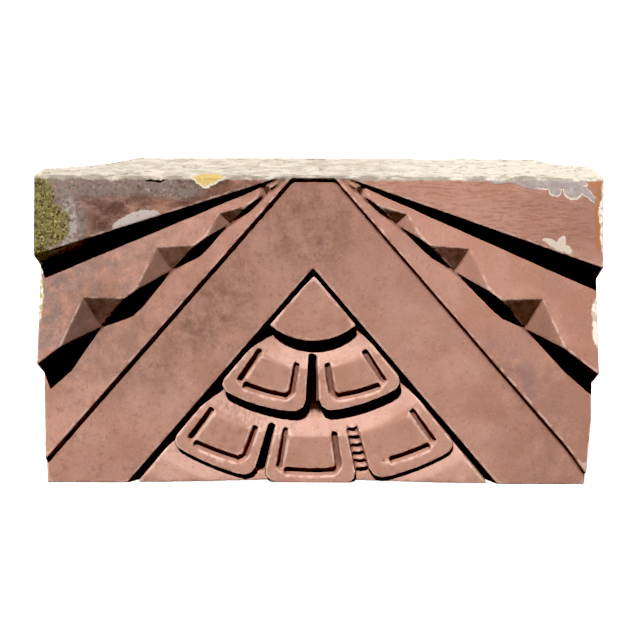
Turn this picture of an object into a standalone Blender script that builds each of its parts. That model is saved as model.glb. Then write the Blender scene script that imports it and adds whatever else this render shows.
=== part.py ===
"""Pressed terracotta facade block with a chevron, lapped bands and scales in relief.

Metres, +Z up. The width runs along X and the carved face looks along -Y. The origin
lies on the lower bed, under the middle of the block's box. A point of the carving is
given by its reach from the motif's upright axis, its height above the lower bed and
its relief, which is how far it stands in front of the chevron's flat face.
"""
import math

import bmesh
import bpy

LEFT = -1
RIGHT = 1

# Block as it is laid in the wall
WIDTH = 0.610
HEIGHT = 0.350
BED_DEPTH = 0.150
PROUD = 0.034

# Open cells in the back
CELL_COUNT = 3
SHELL = 0.032
WEB = 0.028
CELL_DEPTH = 0.100
CELL_CORNER = 0.012
CELL_CORNER_STEPS = 3

# Rays that fan out from the top of the motif
AXIS = -0.006
LIP = 0.0045
LIP_HEIGHT = 0.004
SPANDREL_START = 0.0294
SPANDREL_SLOPE = {LEFT: math.radians(17.3), RIGHT: math.radians(18.6)}
SPANDREL_TILT = math.radians(14.2)
BAND_START = 0.027
BAND_SLOPE = math.radians(36.7)
BAND_TOP_RELIEF = 0.004
BAND_BACK_TOP = 0.0005
BAND_BACK_SIDE = -0.010
SOFFIT_DRAFT = math.radians(28)
INNER_START = 0.0211
INNER_SLOPE = math.radians(49.0)
INNER_RELIEF = 0.0065
INNER_SIDE_RELIEF = 0.008
INNER_BACK_TOP = -0.001
INNER_BACK_SIDE = -0.006
FAN_STEPS = 6

# Pyramid notches along the lapped band: start and length along X, and rise
NOTCHES = (
    (0.044, 0.016, 0.009),
    (0.069, 0.049, 0.0135),
    (0.126, 0.066, 0.027),
    (0.203, 0.071, 0.033),
)
NOTCH_FOOT = 0.42
NOTCH_CROWN = 0.65

# Recess inside the chevron
RECESS_PEAK = 0.2475
RECESS_SLOPE = math.radians(49.85)
RECESS_DEPTH = 0.030
RECESS_GAP = 0.0075

# Cap at the top of the scales
CAP_REACH = 0.0747
CAP_RADIUS = 0.072
CAP_PEAK_RELIEF = -0.009
CAP_RELIEF = -0.0055

# Rows of scales, as distances below the cap's peak and radii of their arcs. The skew
# is how much further a rim reaches for each radian to the right.
ROW_TWO_REACH = 0.1560
ROW_TWO_RADIUS = 0.193
ROW_TWO_SKEW = -0.005
ROW_TWO_CREASE = 0.106
ROW_TWO_CREASE_RADIUS = 0.133
ROW_TWO_BACK = (-0.044, -0.023)
ROW_TWO_GAP_START = 0.0945
ROW_THREE_REACH = 0.2425
ROW_THREE_RADIUS = 0.300
ROW_THREE_SKEW = 0.004
ROW_THREE_CREASE = 0.186
ROW_THREE_CREASE_RADIUS = 0.260
ROW_THREE_BACK = (-0.031, -0.023)
ROW_THREE_GAP_START = 0.1780
CREASE_RELIEF = -0.0085
RIM_RELIEF = -0.0035
SCALE_CORNER = 0.014
SCALE_STEPS = 10
ROW_INSET = math.radians(0.2)

# Row that the lower bed cuts off, as distances below the cap's peak and reliefs
ROW_FOUR = ((0.235, -0.0145), (0.262, -0.0065), (0.290, -0.0035), (0.390, -0.0020))

# Scales of each row, as angles from the axis, left to right, and the gaps between them.
# A gap starts with a steep side, and its far side slopes up from the floor's end.
SECTOR_HALF = math.pi / 2 - RECESS_SLOPE
ROW_TWO_SCALES = (
    (-SECTOR_HALF + ROW_INSET, math.radians(-3.0)),
    (math.radians(3.0), SECTOR_HALF - ROW_INSET),
)
ROW_TWO_GAP_FLOORS = (math.radians(0.9),)
ROW_THREE_SCALES = (
    (-SECTOR_HALF + 2 * ROW_INSET, math.radians(-16.2)),
    (math.radians(-13.4), math.radians(12.1)),
    (math.radians(16.2), SECTOR_HALF - 2 * ROW_INSET),
)
ROW_THREE_GAP_FLOORS = (math.radians(-13.6), math.radians(14.6))
GAP_WALL = math.radians(0.2)
GAP_STEP = 0.04

# Panels: side, near and far angle from the axis, depth of the foot, lean of the near
# side, and whether a groove climbs the near side
ROW_TWO_PANELS = (
    (LEFT, math.radians(10.0), math.radians(34.2), 0.1413, 0.0, True),
    (RIGHT, math.radians(9.0), math.radians(33.4), 0.1408, 0.0, True),
)
ROW_THREE_PANELS = (
    (LEFT, math.radians(20.1), math.radians(36.2), 0.2247, 0.0, True),
    (LEFT, math.radians(-7.6), math.radians(9.7), 0.2275, 0.0, True),
    (RIGHT, math.radians(20.6), math.radians(35.6), 0.2262, math.radians(2.0), False),
)
PANEL_RELIEF = -0.0087
PANEL_STEPS = 4
PANEL_RISE = 0.003

# Grooves round the sides and feet of the panels
GROOVE_WIDTH = 0.0076
GROOVE_FLOOR = 0.0058
GROOVE_RELIEF = -0.0185
GROOVE_CORNER = 0.006
NEAR_RISE = 0.004
FAR_RISE = 0.007
FAR_STOP = 0.002
GROOVE_RIDGE = 0.0062

# Knuckles in the gap beside the middle scale: angles across one with how far it
# stands out there, and distances down one
KNUCKLE_COUNT = 6
KNUCKLE_TOP = 0.1745
KNUCKLE_PITCH = 0.0097
KNUCKLE_LENGTH = 0.0078
KNUCKLE_PROFILE = ((0.0, 0.0), (0.3, 0.85), (0.65, 1.0), (1.0, 0.0))
KNUCKLE_BACK = -0.019
KNUCKLE_RELIEF = -0.0100
KNUCKLE_COLUMNS = (
    (math.radians(12.5), 0.0), (math.radians(13.1), 0.8),
    (math.radians(14.9), 1.0), (math.radians(16.1), 0.3),
)

# Construction allowances, all cut away or buried inside the body
OVERRUN = 0.010
TUCK = 0.006
CLEARANCE = 0.060
NOTCH_EXTEND = 1.15
NOTCH_LIFT = 0.001

BACK_Y = (BED_DEPTH + PROUD) / 2
FACE_Y = BACK_Y - BED_DEPTH
BURIED = -RECESS_DEPTH - 4 * TUCK
GAP_BACK = -RECESS_DEPTH - TUCK
PEAK = RECESS_PEAK - RECESS_GAP * math.tan(RECESS_SLOPE)

TERRACOTTA = (0.49, 0.27, 0.19, 1.0)
TERRACOTTA_ROUGHNESS = 0.85


def clear_scene():
    """Remove every object of the open scene."""
    for item in list(bpy.data.objects):
        bpy.data.objects.remove(item, do_unlink=True)


def terracotta():
    """Fired red-brown clay."""
    material = bpy.data.materials.new("terracotta")
    material.use_nodes = True
    shader = material.node_tree.nodes["Principled BSDF"]
    shader.inputs["Base Color"].default_value = TERRACOTTA
    shader.inputs["Roughness"].default_value = TERRACOTTA_ROUGHNESS
    shader.inputs["Metallic"].default_value = 0.0
    return material


def spot(reach, height, relief, side=RIGHT):
    """World point of a reach from the motif's axis, a height and a relief."""
    return (AXIS + side * reach, FACE_Y - relief, height)


def add_object(name, mesh_builder):
    """Turn a bmesh into a named object of flat, outward triangles."""
    bmesh.ops.triangulate(mesh_builder, faces=mesh_builder.faces)
    bmesh.ops.recalc_face_normals(mesh_builder, faces=mesh_builder.faces)
    mesh = bpy.data.meshes.new(name)
    mesh_builder.to_mesh(mesh)
    mesh_builder.free()
    item = bpy.data.objects.new(name, mesh)
    bpy.context.scene.collection.objects.link(item)
    return item


def loft(name, rings):
    """Closed solid through rings of points, capped at the first and the last."""
    builder = bmesh.new()
    verts = [[builder.verts.new(point) for point in ring] for ring in rings]
    for upper, lower in zip(verts, verts[1:]):
        for index in range(len(upper)):
            after = (index + 1) % len(upper)
            builder.faces.new((upper[index], upper[after], lower[after], lower[index]))
    builder.faces.new(verts[0])
    builder.faces.new(list(reversed(verts[-1])))
    return add_object(name, builder)


def slab(name, face, foot):
    """Closed solid between a grid of face points and a like grid of foot points."""
    builder = bmesh.new()
    top = [[builder.verts.new(point) for point in row] for row in face]
    base = [[builder.verts.new(point) for point in row] for row in foot]
    rows, columns = len(top), len(top[0])
    for row in range(rows - 1):
        for column in range(columns - 1):
            for grid in (top, base):
                builder.faces.new((grid[row][column], grid[row][column + 1],
                                   grid[row + 1][column + 1], grid[row + 1][column]))
    border = [(0, column) for column in range(columns)]
    border += [(row, columns - 1) for row in range(1, rows)]
    border += [(rows - 1, column) for column in range(columns - 2, -1, -1)]
    border += [(row, 0) for row in range(rows - 2, 0, -1)]
    for here, after in zip(border, border[1:] + border[:1]):
        builder.faces.new((top[here[0]][here[1]], top[after[0]][after[1]],
                           base[after[0]][after[1]], base[here[0]][here[1]]))
    return add_object(name, builder)


def box(name, low, high):
    """Plain box between two corners."""
    ring = ((low[0], low[1]), (high[0], low[1]), (high[0], high[1]), (low[0], high[1]))
    return loft(name, [[(x, y, z) for x, y in ring] for z in (low[2], high[2])])


def fan_reaches(side, start):
    """Evenly spaced reaches from a ray's start to just past the block's side."""
    end = side_reach(side) + OVERRUN
    return [start + (end - start) * step / FAN_STEPS for step in range(FAN_STEPS + 1)]


def side_reach(side):
    """Reach of the block's side face from the motif's axis."""
    return WIDTH / 2 - side * AXIS


def share(side, start, reach):
    """How far a reach is on its way from a ray's start to the block's side."""
    return (reach - start) / (side_reach(side) - start)


def spandrel_edge(side, reach):
    """Height and relief of the spandrel's lower edge."""
    height = HEIGHT - (reach - SPANDREL_START) * math.tan(SPANDREL_SLOPE[side])
    return height, LIP + (HEIGHT - height) * math.tan(SPANDREL_TILT)


def band_edge(side, reach):
    """Height and relief of the lapped band's lower edge, before the notches."""
    height = HEIGHT - (reach - BAND_START) * math.tan(BAND_SLOPE)
    rise = PROUD - BAND_TOP_RELIEF
    return height, BAND_TOP_RELIEF + rise * share(side, BAND_START, reach)


def inner_edge(side, reach):
    """Height and relief of the inner band's lower edge, beside the chevron."""
    height = HEIGHT - (reach - INNER_START) * math.tan(INNER_SLOPE)
    rise = INNER_SIDE_RELIEF - INNER_RELIEF
    return height, INNER_RELIEF + rise * share(side, INNER_START, reach)


def band_back(side, reach):
    """Height and relief where the lapped band comes out from under the spandrel."""
    height, relief = spandrel_edge(side, reach)
    back = BAND_BACK_TOP
    back += (BAND_BACK_SIDE - BAND_BACK_TOP) * share(side, SPANDREL_START, reach)
    return height - (relief - back) * math.tan(SOFFIT_DRAFT), back


def inner_back(side, reach):
    """Height and relief where the inner band comes out from under the lapped band."""
    height, relief = band_edge(side, reach)
    back = INNER_BACK_TOP
    back += (INNER_BACK_SIDE - INNER_BACK_TOP) * share(side, BAND_START, reach)
    return height - (relief - back) * math.tan(SOFFIT_DRAFT), back


def tucked(back, edge, reach, side):
    """Point of a band's face a little above where it comes out from its cover."""
    height, relief = back(side, reach)
    lower, proud = edge(side, reach)
    slope = (proud - relief) / max(height - lower, TUCK)
    return height + TUCK, relief - slope * TUCK


def drafted_slab(name, side, rows):
    """Band whose last row of points has a soffit that leans back as it goes in."""
    face = [[spot(reach, height, relief, side) for reach, height, relief in row]
            for row in rows]
    foot = [[spot(reach, height, BURIED, side) for reach, height, relief in row]
            for row in rows[:-1]]
    foot.append([
        spot(reach, height - (relief - BURIED) * math.tan(SOFFIT_DRAFT), BURIED, side)
        for reach, height, relief in rows[-1]
    ])
    return slab(name, face, foot)


def spandrel(side):
    """Corner panel above the fan, tilted forward from the lip."""
    reaches = fan_reaches(side, SPANDREL_START)
    above = HEIGHT + OVERRUN
    top = [(reach, above, LIP - OVERRUN * math.tan(SPANDREL_TILT)) for reach in reaches]
    lower = [(reach, *spandrel_edge(side, reach)) for reach in reaches]
    return drafted_slab(f"spandrel_form_{side}", side, [top, lower])


def lapped_band(side):
    """Broad tilted band below the spandrel."""
    reaches = fan_reaches(side, BAND_START)
    upper = [(reach, *tucked(band_back, band_edge, reach, side)) for reach in reaches]
    lower = [(reach, *band_edge(side, reach)) for reach in reaches]
    return drafted_slab(f"lapped_form_{side}", side, [upper, lower])


def inner_band(side):
    """Flatter band between the lapped band and the chevron."""
    reaches = fan_reaches(side, INNER_START)
    upper = [(reach, *tucked(inner_back, inner_edge, reach, side)) for reach in reaches]
    lower = [(reach, *inner_edge(side, reach)) for reach in reaches]
    return drafted_slab(f"inner_form_{side}", side, [upper, lower])


def recess_reach(height):
    """Reach of the recess's edge at a height."""
    return (RECESS_PEAK - height) / math.tan(RECESS_SLOPE)


def chevron():
    """Flat A-shaped chevron, cut off by the upper bed and open below."""
    outline = []
    for side in (LEFT, RIGHT):
        outer = side_reach(side) + OVERRUN
        top = (INNER_START + TUCK, HEIGHT + OVERRUN)
        corner = (outer, inner_edge(side, outer)[0] + TUCK)
        below = min(0.0, corner[1]) - OVERRUN
        leg = [(recess_reach(below), below), (outer, below), corner, top]
        points = [(side, reach, height) for reach, height in leg]
        outline += points if side == LEFT else list(reversed(points))
    outline.append((RIGHT, 0.0, RECESS_PEAK))
    rings = [[spot(reach, height, relief, side) for side, reach, height in outline]
             for relief in (0.0, BURIED)]
    return loft("chevron_form", rings)


def lip():
    """Thin fillet along the top of the face."""
    half = WIDTH / 2 + OVERRUN
    low = (-half, FACE_Y - LIP, HEIGHT - LIP_HEIGHT)
    return box("lip_form", low, (half, FACE_Y - BURIED, HEIGHT + OVERRUN))


def arc_point(angle, depth, radius):
    """Reach and height where a line from the cap's peak meets an arc below it."""
    centre = depth - radius
    across = centre * math.sin(angle)
    run = centre * math.cos(angle) + math.sqrt(radius * radius - across * across)
    return run * math.sin(angle), PEAK - run * math.cos(angle)


def rounding(place):
    """Share of the corner's height that is rounded off at a place from 0 to 1."""
    return 1 - math.sqrt(max(0.0, 1 - place * place))


def scale_columns(start, end, depth):
    """Angles across a scale and how far each falls short, to round its corners."""
    columns = []
    corner = SCALE_CORNER / depth
    for step in range(SCALE_STEPS + 1):
        swing = -math.cos(math.pi * step / SCALE_STEPS)
        angle = (start + end) / 2 + swing * (end - start) / 2
        inset = min(angle - start, end - angle)
        short = SCALE_CORNER * rounding(max(0.0, 1 - inset / corner))
        columns.append((angle, short, True))
    return columns


def row_columns(spans, gap_floors, depth):
    """Angles across a row, how far each falls short and whether it is on a scale."""
    columns = []
    for index, (start, end) in enumerate(spans):
        columns += scale_columns(start, end, depth)
        if index < len(gap_floors):
            columns.append((end + GAP_WALL, 0.0, False))
            columns.append((gap_floors[index], 0.0, False))
    return columns


def between(start, end, part):
    """Point part of the way from one point to another."""
    return tuple(a + (b - a) * part for a, b in zip(start, end))


def row_station(column, cover, crease, back, gap_start, rim):
    """Points of a row at one angle, from under its cover down to its rim."""
    angle, short, on_scale = column
    reach, radius, skew = rim
    relief = back[0] + (back[1] - back[0]) * (angle / SECTOR_HALF) ** 2
    hidden = (*arc_point(angle, cover[0] - TUCK, cover[1]), relief)
    folded = (*arc_point(angle, *crease), CREASE_RELIEF)
    part = (gap_start - cover[0] + TUCK) / (crease[0] - cover[0] + TUCK)
    lower = (*arc_point(angle, reach + skew * angle - short, radius), RIM_RELIEF)
    points = [hidden, between(hidden, folded, part - GAP_STEP), between(hidden, folded, part),
              folded, lower]
    if on_scale:
        return points
    return points[:2] + [(reach, height, GAP_BACK) for reach, height, _ in points[2:]]


def buried_slab(name, rows):
    """Slab from rows of face points straight down into the body."""
    face = [[spot(*point) for point in row] for row in rows]
    foot = [[spot(reach, height, BURIED) for reach, height, _ in row] for row in rows]
    return slab(name, face, foot)


def scale_row(name, spans, gap_floors, cover, crease, back, gap_start, rim):
    """One row: a bevel out from under the row above, then tongues with gaps between."""
    columns = row_columns(spans, gap_floors, rim[0])
    stations = [row_station(column, cover, crease, back, gap_start, rim) for column in columns]
    return buried_slab(name, list(zip(*stations)))


def cap():
    """Plain sector at the peak of the recess."""
    angles = [SECTOR_HALF * (2 * step / SCALE_STEPS - 1) for step in range(SCALE_STEPS + 1)]
    arc = [arc_point(angle, CAP_REACH, CAP_RADIUS) for angle in angles]
    rings = []
    for peak_relief, relief in ((CAP_PEAK_RELIEF, CAP_RELIEF), (BURIED, BURIED)):
        ring = [spot(reach, height, relief) for reach, height in arc]
        rings.append(ring + [spot(0.0, PEAK, peak_relief)])
    return loft("cap_form", rings)


def next_row():
    """Bevel of the row that the lower bed cuts off."""
    half = SECTOR_HALF - 3 * ROW_INSET
    angles = [half * (2 * step / SCALE_STEPS - 1) for step in range(SCALE_STEPS + 1)]
    rows = [[(*arc_point(angle, depth, ROW_THREE_RADIUS), relief) for angle in angles]
            for depth, relief in ROW_FOUR]
    return buried_slab("next_row_form", rows)


def scale_rows():
    """The two rows of whole scales."""
    two = scale_row(
        "row_two_form", ROW_TWO_SCALES, ROW_TWO_GAP_FLOORS, (CAP_REACH, CAP_RADIUS),
        (ROW_TWO_CREASE, ROW_TWO_CREASE_RADIUS), ROW_TWO_BACK, ROW_TWO_GAP_START,
        (ROW_TWO_REACH, ROW_TWO_RADIUS, ROW_TWO_SKEW))
    three = scale_row(
        "row_three_form", ROW_THREE_SCALES, ROW_THREE_GAP_FLOORS,
        (ROW_TWO_REACH, ROW_TWO_RADIUS), (ROW_THREE_CREASE, ROW_THREE_CREASE_RADIUS),
        ROW_THREE_BACK, ROW_THREE_GAP_START,
        (ROW_THREE_REACH, ROW_THREE_RADIUS, ROW_THREE_SKEW))
    return [three, two]


def knuckles():
    """Row of small lumps of clay left in the gap beside the middle scale."""
    forms = []
    for index in range(KNUCKLE_COUNT):
        top = KNUCKLE_TOP + index * KNUCKLE_PITCH
        rows = []
        for along, swell in KNUCKLE_PROFILE:
            depth = top + along * KNUCKLE_LENGTH
            rows.append([
                (*arc_point(angle, depth, ROW_THREE_RADIUS),
                 KNUCKLE_BACK + (KNUCKLE_RELIEF - KNUCKLE_BACK) * swell * bulge)
                for angle, bulge in KNUCKLE_COLUMNS])
        forms.append(buried_slab(f"knuckle_form_{index}", rows))
    return forms


def pocket(name, side, near, far, crease, foot, radius, lean):
    """Cutter that sinks a panel to one upright plane, from its crease down."""
    rings = []
    for relief, start in ((CLEARANCE, near - lean), (RIM_RELIEF, near - lean),
                          (PANEL_RELIEF, near)):
        turns = [start + (far - start) * step / PANEL_STEPS for step in range(PANEL_STEPS + 1)]
        outline = [arc_point(angle, crease[0] - PANEL_RISE, crease[1]) for angle in turns]
        outline += [arc_point(angle, foot, radius) for angle in reversed(turns)]
        rings.append([spot(reach, height, relief, side) for reach, height in outline])
    return loft(name, rings)


def groove(name, side, path):
    """Cutter for a groove with sloping sides along a path of points."""
    section = ((GROOVE_WIDTH / 2, CLEARANCE), (GROOVE_WIDTH / 2, RIM_RELIEF),
               (GROOVE_FLOOR / 2, GROOVE_RELIEF), (-GROOVE_FLOOR / 2, GROOVE_RELIEF),
               (-GROOVE_WIDTH / 2, RIM_RELIEF), (-GROOVE_WIDTH / 2, CLEARANCE))
    rings = []
    for index, (reach, height) in enumerate(path):
        before = path[max(index - 1, 0)]
        after = path[min(index + 1, len(path) - 1)]
        length = math.hypot(after[0] - before[0], after[1] - before[1])
        across = ((before[1] - after[1]) / length, (after[0] - before[0]) / length)
        rings.append([spot(reach + across[0] * offset, height + across[1] * offset, relief, side)
                      for offset, relief in section])
    return loft(name, rings)


def far_groove(name, side, far, crease, foot, radius):
    """Cutter down the side of a panel that is further from the axis."""
    path = [arc_point(far, crease[0] - FAR_RISE, crease[1]),
            arc_point(far, foot - FAR_STOP, radius)]
    return groove(name, side, path)


def foot_groove(name, side, near, far, crease, foot, radius, climbs):
    """Cutter along a panel's foot, which climbs its near side where it is asked to."""
    start = far - GROOVE_RIDGE / foot
    end = near + GROOVE_CORNER / foot
    path = [arc_point(start + (end - start) * step / PANEL_STEPS, foot, radius)
            for step in range(PANEL_STEPS + 1)]
    if climbs:
        path.append(arc_point(near, foot - GROOVE_CORNER, radius))
        path.append(arc_point(near, crease[0] - NEAR_RISE, crease[1]))
    return groove(name, side, path)


def panels():
    """Cutters for the panels' planes, and for the grooves round them."""
    rows = (
        ("two", ROW_TWO_PANELS, (ROW_TWO_CREASE, ROW_TWO_CREASE_RADIUS), ROW_TWO_RADIUS),
        ("three", ROW_THREE_PANELS, (ROW_THREE_CREASE, ROW_THREE_CREASE_RADIUS), ROW_THREE_RADIUS),
    )
    pockets, cuts = [], []
    for row, scales, crease, radius in rows:
        for index, (side, near, far, foot, lean, climbs) in enumerate(scales):
            place = f"{row}_{index}"
            pockets.append(pocket(
                f"pocket_{place}", side, near, far, crease, foot, radius, lean))
            cuts.append(far_groove(f"far_groove_{place}", side, far, crease, foot, radius))
            cuts.append(foot_groove(
                f"foot_groove_{place}", side, near, far, crease, foot, radius, climbs))
    return pockets + cuts


def beyond(start, end):
    """Point a little further along the line from one point through another."""
    return tuple(a + (b - a) * NOTCH_EXTEND for a, b in zip(start, end))


def notch(name, side, start, length, rise):
    """Cutter for one notch: two facets that meet in a valley down to the inner band."""
    crown_reach = start + length * NOTCH_CROWN
    crown_height = band_edge(side, crown_reach)[0] + rise
    back_height, back_relief = band_back(side, crown_reach)
    edge_height, edge_relief = band_edge(side, crown_reach)
    along = (back_height - crown_height) / (back_height - edge_height)
    crown_relief = back_relief + (edge_relief - back_relief) * along
    foot_reach = start + length * NOTCH_FOOT
    foot_height, foot_relief = inner_back(side, foot_reach)
    crown = (crown_reach, crown_height, crown_relief)
    foot = (foot_reach, foot_height - NOTCH_LIFT, foot_relief + NOTCH_LIFT)
    near = (start, *band_edge(side, start))
    far = (start + length, *band_edge(side, start + length))
    corners = [beyond(foot, crown), beyond(crown, near), foot, beyond(crown, far)]
    builder = bmesh.new()
    low = [builder.verts.new(spot(*corner, side)) for corner in corners]
    high = [builder.verts.new(spot(reach, height, CLEARANCE, side))
            for reach, height, _ in corners]
    builder.faces.new((low[0], low[1], low[2]))
    builder.faces.new((low[0], low[2], low[3]))
    builder.faces.new(high)
    for index in range(4):
        after = (index + 1) % 4
        builder.faces.new((low[index], low[after], high[after], high[index]))
    return add_object(name, builder)


def notches():
    """The notches of both lapped bands."""
    cutters = []
    for side in (LEFT, RIGHT):
        for index, (start, length, rise) in enumerate(NOTCHES):
            cutters.append(notch(f"notch_cutter_{side}_{index}", side, start, length, rise))
    return cutters


def cells():
    """Cutters for the open cells in the back."""
    width = (WIDTH - 2 * SHELL - (CELL_COUNT - 1) * WEB) / CELL_COUNT
    cutters = []
    for index in range(CELL_COUNT):
        left = -WIDTH / 2 + SHELL + index * (width + WEB)
        ring = []
        for corner in range(4):
            centre_x = left + (width - CELL_CORNER if corner in (0, 3) else CELL_CORNER)
            centre_z = HEIGHT - SHELL - CELL_CORNER if corner < 2 else SHELL + CELL_CORNER
            for step in range(CELL_CORNER_STEPS + 1):
                turn = math.pi / 2 * (corner + step / CELL_CORNER_STEPS)
                ring.append((centre_x + CELL_CORNER * math.cos(turn),
                             centre_z + CELL_CORNER * math.sin(turn)))
        ends = (BACK_Y - CELL_DEPTH, BACK_Y + 2 * OVERRUN)
        rings = [[(x, y, z) for x, z in ring] for y in ends]
        cutters.append(loft(f"cell_cutter_{index}", rings))
    return cutters


def combine(body, helpers, operation):
    """Add a Boolean for each helper and keep the helpers out of the model."""
    for helper in helpers:
        helper.hide_render = True
        helper.display_type = "WIRE"
        boolean = body.modifiers.new(helper.name, "BOOLEAN")
        boolean.operation = operation
        boolean.solver = "EXACT"
        boolean.object = helper


def facade_block():
    """The whole block as one solid."""
    past = 2 * OVERRUN
    low = (-WIDTH / 2 - past, FACE_Y + RECESS_DEPTH, -past)
    body = box("facade_block", low, (WIDTH / 2 + past, BACK_Y + OVERRUN, HEIGHT + past))
    bands = [build(side) for side in (LEFT, RIGHT) for build in (inner_band, lapped_band, spandrel)]
    combine(body, [chevron(), *bands, lip()], "UNION")
    combine(body, notches(), "DIFFERENCE")
    combine(body, [next_row(), *scale_rows(), cap(), *knuckles()], "UNION")
    combine(body, [*panels(), *cells()], "DIFFERENCE")
    envelope = box("envelope", (-WIDTH / 2, FACE_Y - PROUD, 0.0), (WIDTH / 2, BACK_Y, HEIGHT))
    combine(body, [envelope], "INTERSECT")
    body.data.materials.append(terracotta())
    return body


clear_scene()
facade_block()
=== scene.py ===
"""Dressing of the terracotta facade block: pressed, fired, worn and weathered clay.

Metres, +Z up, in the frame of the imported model. The carved face looks along -Y. The
solid's own mesh is copied, chipped, remeshed and worn, and then gets one finish.
"""
import logging
import math
from dataclasses import dataclass, field
from enum import Enum

import bpy
import numpy as np
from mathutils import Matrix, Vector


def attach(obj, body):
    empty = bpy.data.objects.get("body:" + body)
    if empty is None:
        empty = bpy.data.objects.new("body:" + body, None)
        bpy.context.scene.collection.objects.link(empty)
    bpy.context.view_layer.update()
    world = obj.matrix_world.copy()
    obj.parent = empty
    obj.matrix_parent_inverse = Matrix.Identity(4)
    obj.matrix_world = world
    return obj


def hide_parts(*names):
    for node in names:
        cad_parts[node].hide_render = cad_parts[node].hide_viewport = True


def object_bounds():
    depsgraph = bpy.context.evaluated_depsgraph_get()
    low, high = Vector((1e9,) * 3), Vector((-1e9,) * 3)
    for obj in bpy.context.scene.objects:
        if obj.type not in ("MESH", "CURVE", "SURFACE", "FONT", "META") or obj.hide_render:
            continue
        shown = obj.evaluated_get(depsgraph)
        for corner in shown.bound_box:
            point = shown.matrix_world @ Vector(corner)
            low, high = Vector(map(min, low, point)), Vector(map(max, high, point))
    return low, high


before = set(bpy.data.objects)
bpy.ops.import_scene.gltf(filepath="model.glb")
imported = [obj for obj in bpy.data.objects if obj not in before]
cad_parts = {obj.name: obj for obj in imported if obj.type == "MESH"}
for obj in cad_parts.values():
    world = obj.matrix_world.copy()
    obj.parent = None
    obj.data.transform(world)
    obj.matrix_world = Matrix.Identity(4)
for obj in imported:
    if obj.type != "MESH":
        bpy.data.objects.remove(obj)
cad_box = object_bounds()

MM = 0.001
PHOTO_SIDE = 640

NOISE_VALUES = 8192
NOISE_STRIDES = (73856093, 19349663, 83492791)
FACET_EDGE = 0.9

Vector3 = tuple[float, float, float]
Socket = bpy.types.NodeSocket

log = logging.getLogger("facade_block")


class Axis(Enum):
    """Direction in the block's frame."""

    WIDTH = 0
    DEPTH = 1
    HEIGHT = 2


def linear(colour: str) -> tuple[float, float, float, float]:
    """Turn an sRGB hex colour into linear red, green, blue and alpha.

    Args:
        colour: Six hex digits after a hash sign.

    Returns:
        The linear colour with full alpha.
    """
    channels = [int(colour[start:start + 2], 16) / 255 for start in (1, 3, 5)]
    red, green, blue = (
        value / 12.92 if value <= 0.04045 else ((value + 0.055) / 1.055) ** 2.4
        for value in channels
    )
    return red, green, blue, 1.0


def add_node(tree: bpy.types.NodeTree, kind: str, settings: dict | None = None,
             inputs: dict | None = None) -> bpy.types.Node:
    """Add one node with its settings and links.

    Args:
        tree: Node tree that gets the node.
        kind: Type name of the node.
        settings: Properties to set on the node.
        inputs: Values for its sockets, or the sockets that feed them.

    Returns:
        The new node.
    """
    node = tree.nodes.new(kind)
    for name, value in (settings or {}).items():
        setattr(node, name, value)
    for name, value in (inputs or {}).items():
        if isinstance(value, Socket):
            tree.links.new(value, node.inputs[name])
        else:
            node.inputs[name].default_value = value
    return node


def select_only(item: bpy.types.Object) -> None:
    """Make one object the active and only selected one.

    Args:
        item: Object to select.
    """
    bpy.ops.object.select_all(action="DESELECT")
    item.select_set(True)
    bpy.context.view_layer.objects.active = item


@dataclass(frozen=True)
class ClayNoise:
    """Smooth lumps through space, the same on every run."""

    seed: int
    lump: float
    octaves: int = 1

    def at(self, points: np.ndarray) -> np.ndarray:
        """Read the noise at points.

        Args:
            points: Places in metres, one row each.

        Returns:
            Values from about -1 to 1, one for each point.
        """
        total = np.zeros(len(points))
        reach, size, most = 1.0, self.lump, 0.0
        for octave in range(self.octaves):
            total += reach * self._lattice(points / size, self.seed + octave)
            most += reach
            reach, size = reach / 2, size / 2
        return total / most

    @staticmethod
    def _lattice(places: np.ndarray, seed: int) -> np.ndarray:
        """Blend random values at whole-number corners around each place."""
        values = np.random.default_rng(seed).uniform(-1, 1, NOISE_VALUES)
        base = np.floor(places).astype(np.int64)
        part = places - base
        fade = part ** 3 * (part * (part * 6 - 15) + 10)
        total = np.zeros(len(places))
        for corner in range(8):
            step = np.array([corner & 1, corner >> 1 & 1, corner >> 2 & 1])
            cell = (base + step) @ np.array(NOISE_STRIDES)
            share = np.prod(np.where(step, fade, 1 - fade), axis=1)
            total += share * values[cell % len(values)]
        return total


def ramp(values: np.ndarray, start: float, end: float) -> np.ndarray:
    """Rise smoothly from 0 at the start to 1 at the end, whichever is larger.

    Args:
        values: Numbers to place on the ramp.
        start: Where the ramp is 0.
        end: Where the ramp is 1.

    Returns:
        Values from 0 to 1.
    """
    place = np.clip((values - start) / (end - start), 0, 1)
    return place * place * (3 - 2 * place)


@dataclass(frozen=True)
class Break:
    """Lump of clay knocked off the block, as a rough ball that is cut away."""

    name: str
    centre: Vector3
    radii: Vector3
    turn: Vector3 = (0.0, 0.0, 0.0)
    roughness: float = 0.08
    seed: int = 1

    def cutter(self) -> bpy.types.Object:
        """Model the rough ball.

        Returns:
            The ball, with its place in its mesh.
        """
        bpy.ops.object.select_all(action="DESELECT")
        bpy.ops.mesh.primitive_ico_sphere_add(subdivisions=4, radius=1.0)
        ball = bpy.context.active_object
        ball.name = self.name
        bpy.ops.object.mode_set(mode="EDIT")
        bpy.ops.transform.vertex_random(offset=self.roughness, seed=self.seed)
        bpy.ops.mesh.vertices_smooth(factor=0.5, repeat=1)
        bpy.ops.object.mode_set(mode="OBJECT")
        ball.location = [value * MM for value in self.centre]
        ball.scale = [value * MM for value in self.radii]
        ball.rotation_euler = [math.radians(value) for value in self.turn]
        bpy.ops.object.transform_apply(location=True, rotation=True, scale=True)
        return ball


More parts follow.
